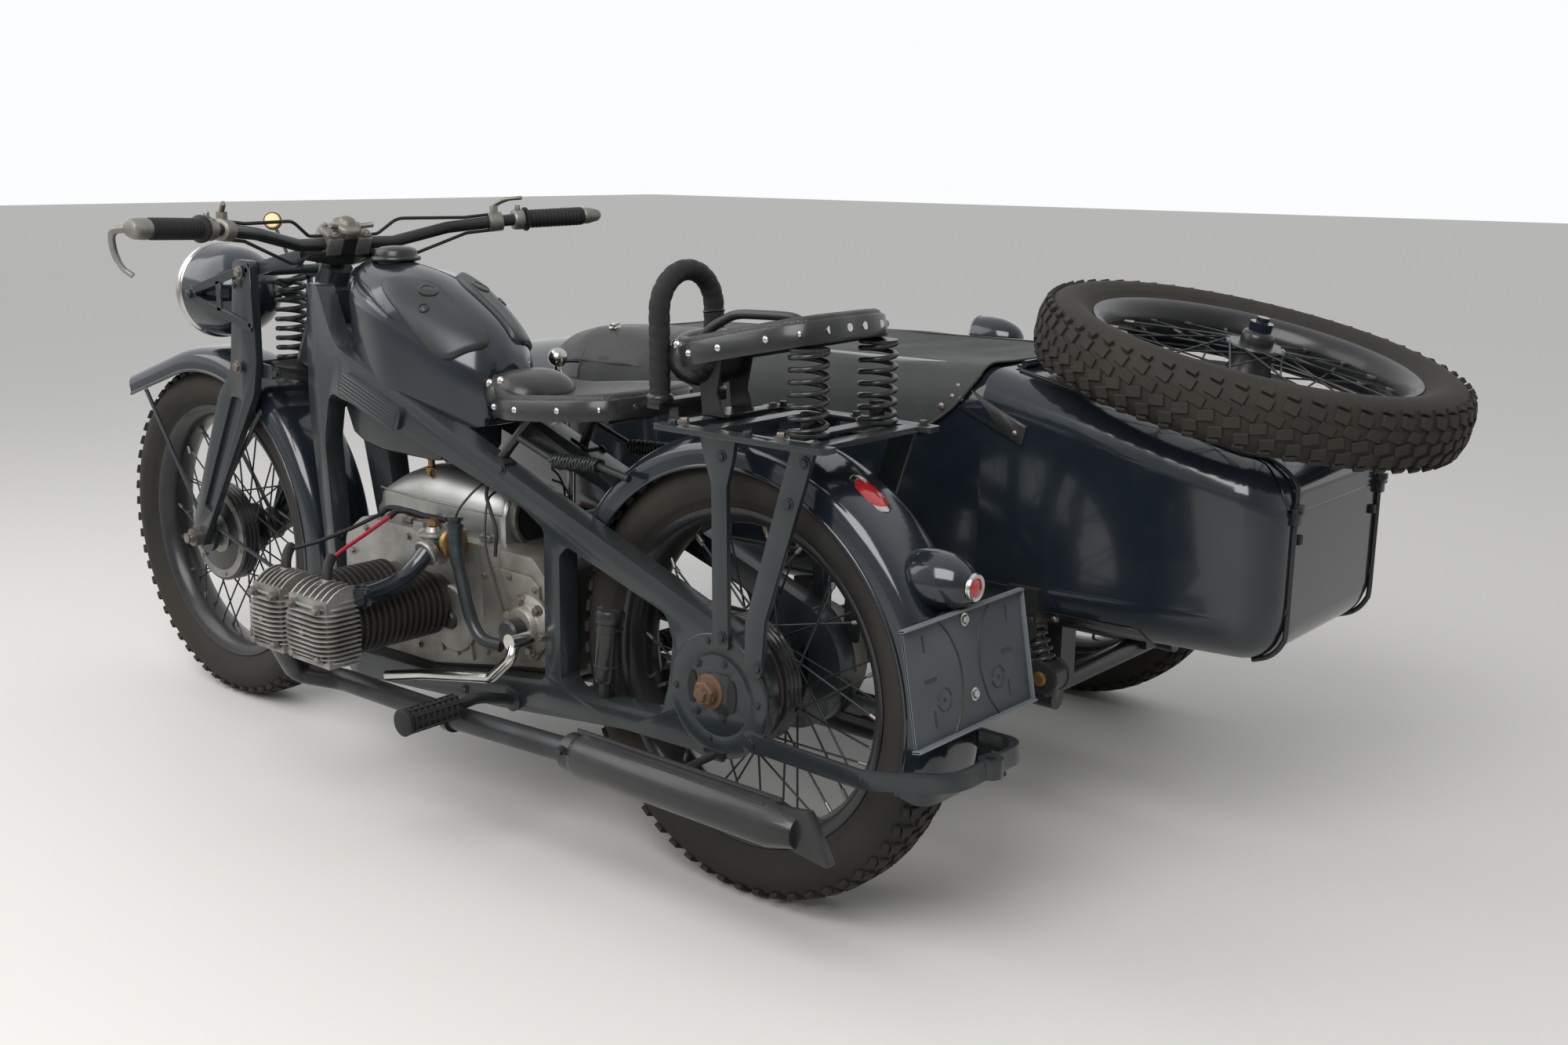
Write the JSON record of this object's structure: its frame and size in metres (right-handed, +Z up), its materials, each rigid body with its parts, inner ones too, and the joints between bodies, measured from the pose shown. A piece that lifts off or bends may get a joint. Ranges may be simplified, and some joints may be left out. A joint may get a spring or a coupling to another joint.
{
  "type": "sidecar motorcycle",
  "caption": "Touring motorcycle of the 1930s with a pressed-steel frame, girder fork, flat engine and a covered sidecar that carries a spare wheel on its hinged boot lid.",
  "frame": {"origin": "on the ground under the middle of the whole machine's box", "axes": "+X forwards, +Y to the rider's left, +Z up; the sidecar is on the -Y side"},
  "size_m": [2.5125, 1.7279, 0.9933],
  "materials": {
    "frame_paint": "satin black enamel with wear",
    "body_paint": "gloss blue-black enamel",
    "alloy": "cast, oil stained",
    "iron": "dark, finned",
    "steel": "bare, a little rust",
    "bright": "polished",
    "rubber": "matt",
    "tread": "matt, dusty",
    "leather": "dark, worn",
    "canvas": "rubberised cloth",
    "clear_glass": "clear",
    "red_glass": "red lens",
    "plate_grey": "blank plate, dark grey",
    "cable": "black sheath",
    "red_lead": "red sheath",
    "tape": "wound tape"
  },
  "bodies": {
    "chassis": {"frame_sides": "frame_paint", "cross_tubes": "frame_paint", "steering_head": "frame_paint", "fuel_tank": "body_paint", "knee_pads": "rubber", "filler_cap": "body_paint", "engine_case": "alloy", "top_cover": "alloy", "barrels": "iron", "cylinder_heads": "alloy", "intake_pipes": "steel", "exhaust_pipes": "steel", "silencers": "frame_paint", "foot_controls": "steel", "footrests": "rubber", "final_drive": "alloy", "rear_axle": "steel", "rear_mudguard": "body_paint", "tail_lamp": "body_paint", "tail_lens": "red_glass", "number_plate": "plate_grey", "rear_bar": "frame_paint", "carrier": "frame_paint", "pillion_springs": "frame_paint", "pillion_saddle": "leather", "saddle_frame": "frame_paint", "rider_saddle": "leather", "grab_handle": "tape", "tyre_pump": "body_paint", "engine_cable": "cable", "plug_leads": "red_lead", "sidecar_tail": "body_paint", "sidecar_tub": "body_paint", "sidecar_nose": "body_paint", "tonneau_cover": "canvas", "sidecar_chassis": "frame_paint", "side_axle": "frame_paint", "side_mudguard": "body_paint", "side_lamp": "body_paint"},
    "steering": {"fork_blades": "frame_paint", "fork_stem": "frame_paint", "fork_spring": "steel", "front_axle": "steel", "front_mudguard": "body_paint", "headlamp": "body_paint", "headlamp_lens": "clear_glass", "handlebar": "frame_paint", "grips": "rubber", "hand_levers": "alloy", "bar_cables": "cable"},
    "front_wheel": {"front_wheel_rim": "frame_paint", "front_tyre": "tread"},
    "rear_wheel": {"rear_wheel_rim": "frame_paint", "rear_tyre": "tread"},
    "side_wheel": {"side_wheel_rim": "frame_paint", "side_tyre": "tread"},
    "boot_lid": {"boot_lid": "body_paint", "spare_wheel_rim": "frame_paint", "spare_tyre": "tread"}
  },
  "joints": [
    {"name": "steering_turn", "type": "hinge", "parent": "chassis", "child": "steering", "pos_m": [0.519, 0.375, 0.92], "axis": [-0.454, 0, 0.891], "range_deg": [-35, 35]},
    {"name": "front_wheel_spin", "type": "hinge", "parent": "steering", "child": "front_wheel", "pos_m": [0.914, 0.375, 0.342], "axis": [0, 1, 0], "continuous": true},
    {"name": "rear_wheel_spin", "type": "hinge", "parent": "chassis", "child": "rear_wheel", "pos_m": [-0.491, 0.375, 0.342], "axis": [0, 1, 0], "continuous": true},
    {"name": "side_wheel_spin", "type": "hinge", "parent": "chassis", "child": "side_wheel", "pos_m": [-0.359, -0.78, 0.342], "axis": [0, 1, 0], "continuous": true},
    {"name": "boot_lid_open", "type": "hinge", "parent": "chassis", "child": "boot_lid", "pos_m": [-0.6065, -0.303, 0.76712], "axis": [0, 1, 0], "range_deg": [0, 50]}
  ]
}
